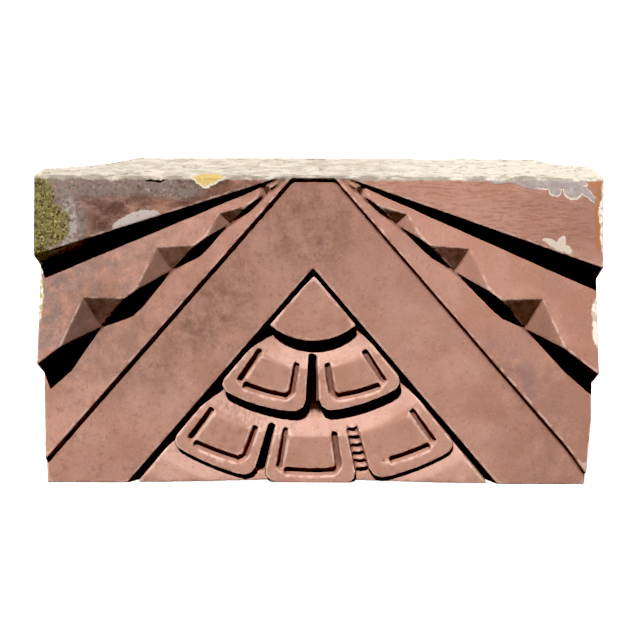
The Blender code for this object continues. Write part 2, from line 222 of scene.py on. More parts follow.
@dataclass(frozen=True)
class Facet:
    """Three corners of a notch's facet, each as width and height in millimetres."""

    corners: tuple[tuple[float, float], ...]

    def cover(self, points: np.ndarray) -> np.ndarray:
        """Find the points in front of or on the facet.

        Args:
            points: Places in metres, one row each.

        Returns:
            Values from 0 outside to 1 inside, one for each point.
        """
        place = points[:, (0, 2)] / MM
        centre = np.mean(self.corners, axis=0)
        inside = np.full(len(place), np.inf)
        for start, end in zip(self.corners, self.corners[1:] + self.corners[:1]):
            along = np.subtract(end, start)
            inward = np.array((-along[1], along[0])) / np.hypot(*along)
            inward *= np.sign(inward @ (centre - start))
            inside = np.minimum(inside, (place - start) @ inward)
        return ramp(inside, -FACET_EDGE, FACET_EDGE)


# The side of each notch towards the middle of the block, left ones first.
NEAR_FACETS = (
    Facet(((-60.4, 338.6), (-50.0, 337.3), (-56.7, 328.0))),
    Facet(((-106.9, 308.5), (-75.0, 318.7), (-95.6, 296.4))),
    Facet(((-174.9, 271.2), (-132.0, 276.2), (-159.7, 244.2))),
    Facet(((-255.1, 217.4), (-209.0, 218.8), (-238.8, 179.8))),
    Facet(((48.4, 338.6), (38.0, 337.3), (44.7, 328.1))),
    Facet(((94.9, 308.5), (63.0, 318.7), (83.6, 296.6))),
    Facet(((162.9, 271.2), (120.0, 276.2), (147.7, 244.6))),
    Facet(((243.2, 217.4), (197.0, 218.8), (226.8, 180.4))),
)
# The side away from the middle, on the left half, darkened with dust and painted shade.
FAR_FACETS = (
    Facet(((-60.4, 338.6), (-66.0, 325.4), (-56.7, 328.0))),
    Facet(((-106.9, 308.5), (-124.0, 282.2), (-95.6, 296.4))),
    Facet(((-174.9, 271.2), (-198.0, 227.0), (-159.7, 244.2))),
    Facet(((-255.1, 217.4), (-280.0, 165.9), (-238.8, 179.8))),
)


@dataclass
class WeatheredBlock:
    """The carved block with its breaks, worn arrises and crusted upper bed.

    Lengths are in millimetres.
    """

    name: str = "weathered_block"
    stands_for: str = "facade_block"
    voxel: float = 1.5
    quick_voxel: float = 2.6
    front_triangles: int = 132000
    back_triangles: int = 52000
    front_depth: float = -28.0
    breaks: tuple[Break, ...] = (
        Break("upper_left_back_break", (-312, 104, 362), (104, 128, 42), (14, 14, -6), 0.05, 3),
        Break("upper_right_back_break", (320, 110, 360), (70, 90, 26), (8, -10, 4), 0.05, 5),
        Break("lower_left_break", (-314, -78, 58), (15, 26, 21), (0, 0, 12), 0.10, 7),
        Break("left_edge_nick", (-309, -94, 188), (11, 14, 5), (0, 12, 0), 0.10, 9),
        Break("upper_arris_chip", (-120, -74, 353), (21, 12.5, 11), (0, 0, 0), 0.12, 11),
        Break("upper_arris_crack", (-174, -66, 346), (13, 7, 1.6), (0, 4, 0), 0.10, 13),
        Break("right_edge_chip", (257, -92, 276), (14, 6, 7), (0, 18, 0), 0.12, 15),
    )
    clay_waves: ClayNoise = ClayNoise(21, 48 * MM, 2)
    clay_dents: ClayNoise = ClayNoise(31, 9 * MM, 2)
    arris_wear: ClayNoise = ClayNoise(41, 14 * MM, 2)
    crust_lumps: ClayNoise = ClayNoise(51, 30 * MM, 3)
    crust_grit: ClayNoise = ClayNoise(61, 6 * MM, 2)
    wave_height: float = 0.35
    dent_height: float = 0.14
    surface_wear: float = 0.06
    arris_wear_share: float = 0.4
    bed_from: float = 335.0
    bed_full: float = 347.0
    crust_fall: float = 1.7
    crust_lump_height: float = 2.6
    crust_grit_height: float = 0.7
    crust_deepest: float = 6.0
    foot_wear: float = 4.5
    foot_height: float = 85.0
    foot_inner: float = 270.0
    foot_outer: float = 305.0
    foot_front: float = -40.0
    facet_back: float = -40.0
    facet_front: float = -46.0
    item: bpy.types.Object | None = field(default=None, init=False)

    def build(self) -> bpy.types.Object:
        """Model the block from the solid that it stands for.

        Returns:
            The finished piece, undressed.
        """
        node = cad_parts[self.stands_for]
        self.item = bpy.data.objects.new(self.name, node.data.copy())
        bpy.context.scene.collection.objects.link(self.item)
        self._join_corners()
        self._knock_off()
        self._remesh()
        self._wear()
        self._thin()
        self._keep_inside()
        self._smooth_shading()
        return self.item

    def dress(self, material: bpy.types.Material) -> None:
        """Give the block its finish.

        Args:
            material: The only material on the piece.
        """
        self.item.data.materials.clear()
        self.item.data.materials.append(material)

    def _join_corners(self) -> None:
        """Merge the loose triangles of the copied mesh."""
        select_only(self.item)
        bpy.ops.object.mode_set(mode="EDIT")
        bpy.ops.mesh.select_all(action="SELECT")
        bpy.ops.mesh.remove_doubles(threshold=0.002 * MM)
        bpy.ops.object.mode_set(mode="OBJECT")

    def _knock_off(self) -> None:
        """Cut every break out of the block."""
        for lump in self.breaks:
            cutter = lump.cutter()
            select_only(self.item)
            cut = self.item.modifiers.new(lump.name, "BOOLEAN")
            cut.operation = "DIFFERENCE"
            cut.solver = "EXACT"
            cut.object = cutter
            bpy.ops.object.modifier_apply(modifier=cut.name)
            bpy.data.objects.remove(cutter, do_unlink=True)

    def _remesh(self) -> None:
        """Turn the surface into one even skin that can be worn."""
        select_only(self.item)
        skin = self.item.modifiers.new("even_skin", "REMESH")
        skin.mode = "VOXEL"
        skin.voxel_size = self.voxel * MM
        bpy.ops.object.modifier_apply(modifier=skin.name)

    def _read(self) -> tuple[np.ndarray, np.ndarray, np.ndarray]:
        """Read the mesh's points, normals and edges."""
        mesh = self.item.data
        points = np.empty(len(mesh.vertices) * 3)
        normals = np.empty(len(mesh.vertices) * 3, np.float32)
        edges = np.empty(len(mesh.edges) * 2, np.int32)
        mesh.vertices.foreach_get("co", points)
        mesh.vertex_normals.foreach_get("vector", normals)
        mesh.edges.foreach_get("vertices", edges)
        return points.reshape(-1, 3), normals.reshape(-1, 3), edges.reshape(-1, 2)

    @staticmethod
    def _relax(points: np.ndarray, edges: np.ndarray, weight: np.ndarray | float,
               rounds: int) -> np.ndarray:
        """Move each point towards the middle of its neighbours.

        Args:
            points: Places of the mesh's points.
            edges: Pairs of neighbouring points.
            weight: How far each point moves, from 0 to 1.
            rounds: How often.

        Returns:
            The moved points.
        """
        ends = np.concatenate([edges[:, 0], edges[:, 1]])
        others = np.concatenate([edges[:, 1], edges[:, 0]])
        count = np.maximum(np.bincount(ends, minlength=len(points)), 1)
        weight = np.broadcast_to(np.asarray(weight, float), (len(points),))[:, None]
        moved = points.copy()
        for _ in range(rounds):
            middle = np.stack([
                np.bincount(ends, moved[others, axis], len(points)) / count
                for axis in range(3)
            ], axis=1)
            moved += (middle - moved) * weight
        return moved

    def _wear(self) -> None:
        """Wear the arrises, crust the upper bed and make the clay uneven."""
        points, normals, edges = self._read()
        step = self.voxel * MM
        swell = np.einsum("ij,ij->i", points - self._relax(points, edges, 0.6, 5), normals)
        arris = np.clip(swell / (0.30 * step), 0, 1)
        uneven = 0.35 + 0.65 * ramp(self.arris_wear.at(points), -0.5, 0.5)
        wear = self.surface_wear + self.arris_wear_share * arris * uneven
        points = self._relax(points, edges, wear, 2)
        points += normals * (self.wave_height * MM * self.clay_waves.at(points))[:, None]
        points += normals * (self.dent_height * MM * self.clay_dents.at(points))[:, None]
        self._crust(points, normals)
        self._narrow_foot(points)
        self.item.data.vertices.foreach_set("co", points.ravel())
        self.item.data.update()
        self._mark(edges, step)

    def _crust(self, points: np.ndarray, normals: np.ndarray) -> None:
        """Lower the upper bed to a lumpy crust of old mortar, in place."""
        on_bed = ramp(normals[:, 2], 0.35, 0.8) * ramp(
            points[:, 2], self.bed_from * MM, self.bed_full * MM)
        lumps = self.crust_lumps.at(points * (0.55, 1.0, 1.0))
        grit = self.crust_grit.at(points)
        fall = self.crust_fall + self.crust_lump_height * lumps + self.crust_grit_height * grit
        points[:, 2] -= on_bed * np.clip(fall, 0.0, self.crust_deepest) * MM

    def _narrow_foot(self, points: np.ndarray) -> None:
        """Wear the right side in towards the lower bed, in place."""
        near_foot = ramp(points[:, 2], self.foot_height * MM, 0.0)
        near_side = ramp(points[:, 0], self.foot_inner * MM, self.foot_outer * MM)
        front = ramp(points[:, 1], 0.0, self.foot_front * MM)
        points[:, 0] -= near_foot * near_side * front * self.foot_wear * MM

    def _mark(self, edges: np.ndarray, step: float) -> None:
        """Store how far each point stands out or lies back, for the finish."""
        points, normals, _ = self._read()
        swell = np.einsum("ij,ij->i", points - self._relax(points, edges, 0.7, 10), normals)
        marks = {
            "arris": np.clip(swell / (0.5 * step), 0, 1),
            "hollow": np.clip(-swell / (0.5 * step), 0, 1),
            "near_facet": self._on_facets(points, NEAR_FACETS),
            "far_facet": self._on_facets(points, FAR_FACETS),
        }
        for name, values in marks.items():
            mark = self.item.data.attributes.new(name, "FLOAT", "POINT")
            mark.data.foreach_set("value", values.astype(np.float32))

    def _on_facets(self, points: np.ndarray, facets: tuple[Facet, ...]) -> np.ndarray:
        """Find the points that lie on any of the facets.

        Args:
            points: Places of the mesh's points.
            facets: Facets to look at.

        Returns:
            Values from 0 to 1, one for each point.
        """
        total = np.max([facet.cover(points) for facet in facets], axis=0)
        return total * ramp(points[:, 1], self.facet_back * MM, self.facet_front * MM)

    def _thin(self) -> None:
        """Thin out the plain back more than the carved front."""
        mesh = self.item.data
        select_only(self.item)
        for behind, keep in ((True, self.back_triangles), (False, self.front_triangles)):
            centres = np.empty(len(mesh.polygons) * 3, np.float32)
            mesh.polygons.foreach_get("center", centres)
            corners = np.empty(len(mesh.polygons), np.int32)
            mesh.polygons.foreach_get("loop_total", corners)
            chosen = (centres[1::3] > self.front_depth * MM) == behind
            triangles = int((corners[chosen] - 2).sum())
            mesh.polygons.foreach_set("select", chosen)
            bpy.ops.object.mode_set(mode="EDIT")
            bpy.ops.mesh.select_mode(type="FACE")
            if triangles > keep:
                bpy.ops.mesh.decimate(ratio=keep / triangles)
            bpy.ops.object.mode_set(mode="OBJECT")

    def _keep_inside(self) -> None:
        """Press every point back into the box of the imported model."""
        points, _, _ = self._read()
        low, high = (np.array(corner) for corner in cad_box)
        self.item.data.vertices.foreach_set("co", np.clip(points, low, high).ravel())
        self.item.data.update()

    def _smooth_shading(self) -> None:
        """Shade the worn surface smoothly, with its normals outward."""
        select_only(self.item)
        bpy.ops.object.mode_set(mode="EDIT")
        bpy.ops.mesh.select_all(action="SELECT")
        bpy.ops.mesh.quads_convert_to_tris()
        bpy.ops.mesh.normals_make_consistent(inside=False)
        bpy.ops.object.mode_set(mode="OBJECT")
        bpy.ops.object.shade_smooth()


@dataclass
class Paint:
    """Node tree of a finish and the coordinates that its masks share."""

    tree: bpy.types.NodeTree
    place: Socket
    torn: Socket
    normal: Socket


@dataclass(frozen=True)
class Mottle:
    """Blotches of noise. The size is the width of a blotch in millimetres."""

    size: float
    low: float
    high: float
    detail: float = 3.0
    roughness: float = 0.55
    stretch: Vector3 = (1.0, 1.0, 1.0)
    shift: float = 0.0
    turn: float = 0.0

    def mask(self, paint: Paint) -> Socket:
        """Add the nodes of the blotches.

        Args:
            paint: Finish that gets the nodes.

        Returns:
            Socket with 0 outside the blotches and 1 inside.
        """
        spread = add_node(paint.tree, "ShaderNodeMapping", inputs={
            "Vector": paint.place,
            "Location": (self.shift, self.shift, self.shift),
            "Rotation": (0.0, math.radians(self.turn), 0.0),
            "Scale": tuple(1 / value for value in self.stretch),
        })
        noise = add_node(paint.tree, "ShaderNodeTexNoise", inputs={
            "Vector": spread.outputs["Vector"],
            "Scale": 1 / (self.size * MM),
            "Detail": self.detail,
            "Roughness": self.roughness,
        })
        band = add_node(paint.tree, "ShaderNodeMapRange", {"interpolation_type": "SMOOTHSTEP"}, {
            "Value": noise.outputs["Fac"],
            "From Min": self.low,
            "From Max": self.high,
        })
        return band.outputs["Result"]


@dataclass(frozen=True)
class Patch:
    """Torn-edged patch. Centre and radii are in millimetres, the turn in degrees."""

    centre: Vector3
    radii: Vector3
    turn: float = 0.0
    soft: float = 0.10

    def mask(self, paint: Paint) -> Socket:
        """Add the nodes of the patch.

        Args:
            paint: Finish that gets the nodes.

        Returns:
            Socket with 1 inside the patch and 0 outside.
        """
        local = add_node(paint.tree, "ShaderNodeMapping", {"vector_type": "TEXTURE"}, {
            "Vector": paint.torn,
            "Location": tuple(value * MM for value in self.centre),
            "Rotation": (0.0, math.radians(self.turn), 0.0),
            "Scale": tuple(value * MM for value in self.radii),
        })
        reach = add_node(paint.tree, "ShaderNodeVectorMath", {"operation": "LENGTH"}, {
            0: local.outputs["Vector"],
        })
        edge = add_node(paint.tree, "ShaderNodeMapRange", {"interpolation_type": "SMOOTHSTEP"}, {
            "Value": reach.outputs["Value"],
            "From Min": 1 + self.soft,
            "From Max": 1 - self.soft,
        })
        return edge.outputs["Result"]


@dataclass(frozen=True)
class Sector:
    """Piece of a ring round the top of the scales, in degrees and millimetres."""

    middle: float
    half: float
    near: float
    far: float
    soft: float = 1.5
    peak: Vector3 = (-6.0, 0.0, 238.6)

    def mask(self, paint: Paint) -> Socket:
        """Add the nodes of the piece of a ring.

        Args:
            paint: Finish that gets the nodes.

        Returns:
            Socket with 1 inside the piece and 0 outside.
        """
        from_peak = add_node(paint.tree, "ShaderNodeVectorMath", {"operation": "SUBTRACT"}, {
            0: paint.place, 1: tuple(value * MM for value in self.peak),
        })
        flat = add_node(paint.tree, "ShaderNodeVectorMath", {"operation": "MULTIPLY"}, {
            0: from_peak.outputs["Vector"], 1: (1.0, 0.0, -1.0),
        })
        reach = add_node(paint.tree, "ShaderNodeVectorMath", {"operation": "LENGTH"}, {
            0: flat.outputs["Vector"],
        })
        split = add_node(paint.tree, "ShaderNodeSeparateXYZ", inputs={
            "Vector": flat.outputs["Vector"],
        })
        turn = add_node(paint.tree, "ShaderNodeMath", {"operation": "ARCTAN2"}, {
            0: split.outputs["X"], 1: split.outputs["Z"],
        })
        edge = math.radians(self.soft / 3)
        sides = ((turn.outputs["Value"], math.radians(self.middle), math.radians(self.half), edge),
                 (reach.outputs["Value"], (self.near + self.far) / 2 * MM,
                  (self.far - self.near) / 2 * MM, self.soft * MM))
        inside = []
        for value, middle, half, soft in sides:
            off = add_node(paint.tree, "ShaderNodeMath", {"operation": "SUBTRACT"}, {
                0: value, 1: middle,
            })
            size = add_node(paint.tree, "ShaderNodeMath", {"operation": "ABSOLUTE"}, {
                0: off.outputs["Value"],
            })
            fade = add_node(paint.tree, "ShaderNodeMapRange", {
                "interpolation_type": "SMOOTHSTEP",
            }, {"Value": size.outputs["Value"], "From Min": half + soft, "From Max": half - soft})
            inside.append(fade.outputs["Result"])
        both = add_node(paint.tree, "ShaderNodeMath", {"operation": "MULTIPLY"}, {
            0: inside[0], 1: inside[1],
        })
        return both.outputs["Value"]


@dataclass(frozen=True)
class Places:
    """Several patches or pieces of rings of one kind."""

    patches: tuple[Patch | Sector, ...]

    def mask(self, paint: Paint) -> Socket:
        """Add the nodes of all the patches.

        Args:
            paint: Finish that gets the nodes.

        Returns:
            Socket with 1 inside any of the patches.
        """
        total, *rest = [patch.mask(paint) for patch in self.patches]
        for other in rest:
            both = add_node(paint.tree, "ShaderNodeMath", {"operation": "MAXIMUM"}, {
                0: total, 1: other,
            })
            total = both.outputs["Value"]
        return total


@dataclass(frozen=True)
class Span:
    """Rise from 0 to 1 between two places along an axis, in millimetres."""

    axis: Axis
    start: float
    end: float

    def mask(self, paint: Paint) -> Socket:
        """Add the nodes of the rise.

        Args:
            paint: Finish that gets the nodes.

        Returns:
            Socket that goes from 0 to 1.
        """
        split = add_node(paint.tree, "ShaderNodeSeparateXYZ", inputs={"Vector": paint.torn})
        rise = add_node(paint.tree, "ShaderNodeMapRange", {"interpolation_type": "SMOOTHSTEP"}, {
            "Value": split.outputs[self.axis.value],
            "From Min": self.start * MM,
            "From Max": self.end * MM,
        })
        return rise.outputs["Result"]


@dataclass(frozen=True)
class Facing:
    """Rise from 0 to 1 as the surface turns towards or away from an axis."""

    axis: Axis
    start: float
    end: float

    def mask(self, paint: Paint) -> Socket:
        """Add the nodes of the rise.

        Args:
            paint: Finish that gets the nodes.

        Returns:
            Socket that goes from 0 to 1.
        """
        split = add_node(paint.tree, "ShaderNodeSeparateXYZ", inputs={"Vector": paint.normal})
        rise = add_node(paint.tree, "ShaderNodeMapRange", {"interpolation_type": "SMOOTHSTEP"}, {
            "Value": split.outputs[self.axis.value],
            "From Min": self.start,
            "From Max": self.end,
        })
        return rise.outputs["Result"]


@dataclass(frozen=True)
class Marked:
    """Values that the worn mesh carries at its points."""

    attribute: str
    low: float
    high: float

    def mask(self, paint: Paint) -> Socket:
        """Add the nodes that read the values.

        Args:
            paint: Finish that gets the nodes.

        Returns:
            Socket that goes from 0 to 1.
        """
        mark = add_node(paint.tree, "ShaderNodeAttribute", {"attribute_name": self.attribute})
        rise = add_node(paint.tree, "ShaderNodeMapRange", {"interpolation_type": "SMOOTHSTEP"}, {
            "Value": mark.outputs["Fac"],
            "From Min": self.low,
            "From Max": self.high,
        })
        return rise.outputs["Result"]


@dataclass(frozen=True)
class Coat:
    """One colour laid over the coats below it, where all of its masks agree.

    The relief is how far the coat stands proud in millimetres.
    """

    name: str
    colour: str
    masks: tuple[Mottle | Patch | Sector | Places | Span | Facing | Marked, ...]
    strength: float = 1.0
    relief: float = 0.0

    def cover(self, paint: Paint) -> Socket:
        """Multiply the coat's masks and its strength.

        Args:
            paint: Finish that gets the nodes.

        Returns:
            Socket with the share of the surface's colour that the coat takes.
        """
        total: Socket | float = self.strength
        for part in self.masks:
            product = add_node(paint.tree, "ShaderNodeMath", {"operation": "MULTIPLY"}, {
                0: part.mask(paint), 1: total,
            })
            total = product.outputs["Value"]
        return total


# Where the finish changes along the block, in millimetres from its middle and its foot.
FRONT = Span(Axis.DEPTH, -2.0, -24.0)
BACK = Span(Axis.DEPTH, -24.0, -2.0)
LEFT_HALF = Span(Axis.WIDTH, 30.0, -210.0)
LEFT_END = Span(Axis.WIDTH, -120.0, -280.0)
LEFT_WIDE = Span(Axis.WIDTH, 150.0, -60.0)
RIGHT_END = Span(Axis.WIDTH, 150.0, 270.0)
CLEAR_OF_UNDERSIDES = Facing(Axis.HEIGHT, -0.55, -0.45)
UPPER_BED = Span(Axis.HEIGHT, 344.5, 347.0)
UPPER_PART = Span(Axis.HEIGHT, 120.0, 320.0)
BELOW_BED = Span(Axis.HEIGHT, 349.0, 346.0)

# Where each mark sits on the face. A patch has centre, radii, turn and softness.
MOSS = Places((
    Patch((-297, -84, 322), (15, 40, 30)),
    Patch((-290, -84, 299), (24, 40, 24)),
    Patch((-300, -88, 268), (11, 40, 14)),
))
LICHEN = Places((
    Patch((-284, -84, 302), (38, 44, 44), 0.0, 0.2),
    Patch((-240, -70, 341), (72, 44, 15), 0.0, 0.3),
    Patch((-162, -70, 336), (36, 44, 11), 4.0, 0.3),
))
RIGHT_SPANDREL = Places((
    Patch((150, -74, 332), (110, 40, 20), 6.0, 0.25),
    Patch((230, -80, 306), (84, 40, 32), 8.0, 0.25),
))
LEFT_SPANDREL = Places((
    Patch((-150, -74, 332), (100, 40, 19), -6.0, 0.35),
    Patch((-230, -80, 310), (70, 40, 34), -10.0, 0.35),
))
BLOTCHES = Places((
    Patch((-120, -58, 196), (74, 30, 28), -50.0, 0.6),
    Patch((-8, -58, 296), (40, 30, 46), 0.0, 0.6),
    Patch((-238, -70, 214), (36, 40, 18), -34.0, 0.6),
))
# The panels and bevels of the scales, round the point where the scales start.
PANELS = Places((
    Sector(-22.1, 11.0, 107.5, 141.5),
    Sector(21.2, 11.0, 107.5, 141.0),
    Sector(-28.1, 7.4, 191.0, 229.0),
    Sector(-1.05, 8.0, 186.0, 225.5),
    Sector(28.3, 7.2, 191.0, 230.0),
))
BEVELS = Places((
    Sector(0.0, 41.0, 86.0, 105.5, 2.5),
    Sector(0.0, 41.0, 166.0, 187.0, 2.5),
    Sector(0.0, 41.0, 248.0, 330.0, 2.5),
))
RECESS = Sector(0.0, 58.0, 2.0, 330.0)
PALE_FLAKES = Places((
    Patch((262, -62, 344), (24, 30, 6.0), 4.0, 0.05),
    Patch((272, -62, 337), (10, 30, 9.5), 24.0, 0.05),
    Patch((288, -62, 332), (13, 30, 3.2), 36.0, 0.05),
    Patch((252, -62, 337), (6.0, 30, 7.0), -30.0, 0.05),
    Patch((236, -62, 343), (17, 30, 4.5), 12.0, 0.05),
    Patch((222, -62, 341), (14, 30, 3.0), 18.0, 0.05),
    Patch((198, -62, 346.5), (20, 30, 4.0), 0.0, 0.05),
    Patch((150, -62, 348.5), (16, 30, 2.2), 0.0, 0.05),
))
FLAKE_RIMS = Places((
    Patch((262, -62, 343.4), (25.4, 30, 7.0), 4.0, 0.05),
    Patch((272, -62, 336.4), (11.2, 30, 10.7), 24.0, 0.05),
    Patch((288, -62, 331.6), (14.0, 30, 4.1), 36.0, 0.05),
    Patch((252, -62, 336.4), (7.1, 30, 8.1), -30.0, 0.05),
    Patch((236, -62, 342.4), (18.2, 30, 5.4), 12.0, 0.05),
))
CHIP = Places((
    Patch((-119, -66, 349.0), (18.0, 24, 5.0), 0.0, 0.06),
    Patch((-121, -66, 344.5), (11.0, 24, 4.0), 0.0, 0.06),
    Patch((-122, -66, 341.0), (5.0, 24, 3.4), 0.0, 0.06),
))
CHIP_RIM = Places((
    Patch((-119, -66, 348.4), (20.0, 24, 6.4), 0.0, 0.06),
    Patch((-121, -66, 343.9), (12.6, 24, 5.2), 0.0, 0.06),
    Patch((-122, -66, 340.2), (6.4, 24, 4.4), 0.0, 0.06),
))
EDGE_STRIPS = Places((
    Patch((306, -84, 309), (6.0, 40, 42), 0.0, 0.06),
    Patch((307, -90, 201), (10.5, 40, 38), 2.0, 0.06),
    Patch((-306, -80, 246), (7.5, 40, 12), 0.0, 0.06),
    Patch((-305, -86, 222), (5.5, 40, 34), 0.0, 0.08),
))

SCRAPE = Patch((-195, -76, 302), (27, 30, 9.5), -17.0, 0.05)
LICHEN_RIM = Places((
    Patch((-266, -84, 304), (7, 40, 26), -6.0, 0.5),
    Patch((-280, -90, 274), (24, 40, 6), -30.0, 0.5),
))
CRACK = Places((
    Patch((-175, -62, 344.6), (11, 20, 2.2), 3.0, 0.1),
    Patch((-154, -62, 346.4), (14, 20, 0.8), -3.0, 0.2),
))
CREAM_CHIP = Places((
    Patch((250, -84, 281.0), (11, 30, 3.6), 22.0, 0.06),
    Patch((259, -84, 279), (5, 30, 9.5), 14.0, 0.06),
    Patch((264, -84, 275), (8, 30, 3.6), 40.0, 0.06),
))
NEAR_SIDES = Marked("near_facet", 0.3, 0.8)
FAR_SIDES = Marked("far_facet", 0.3, 0.8)
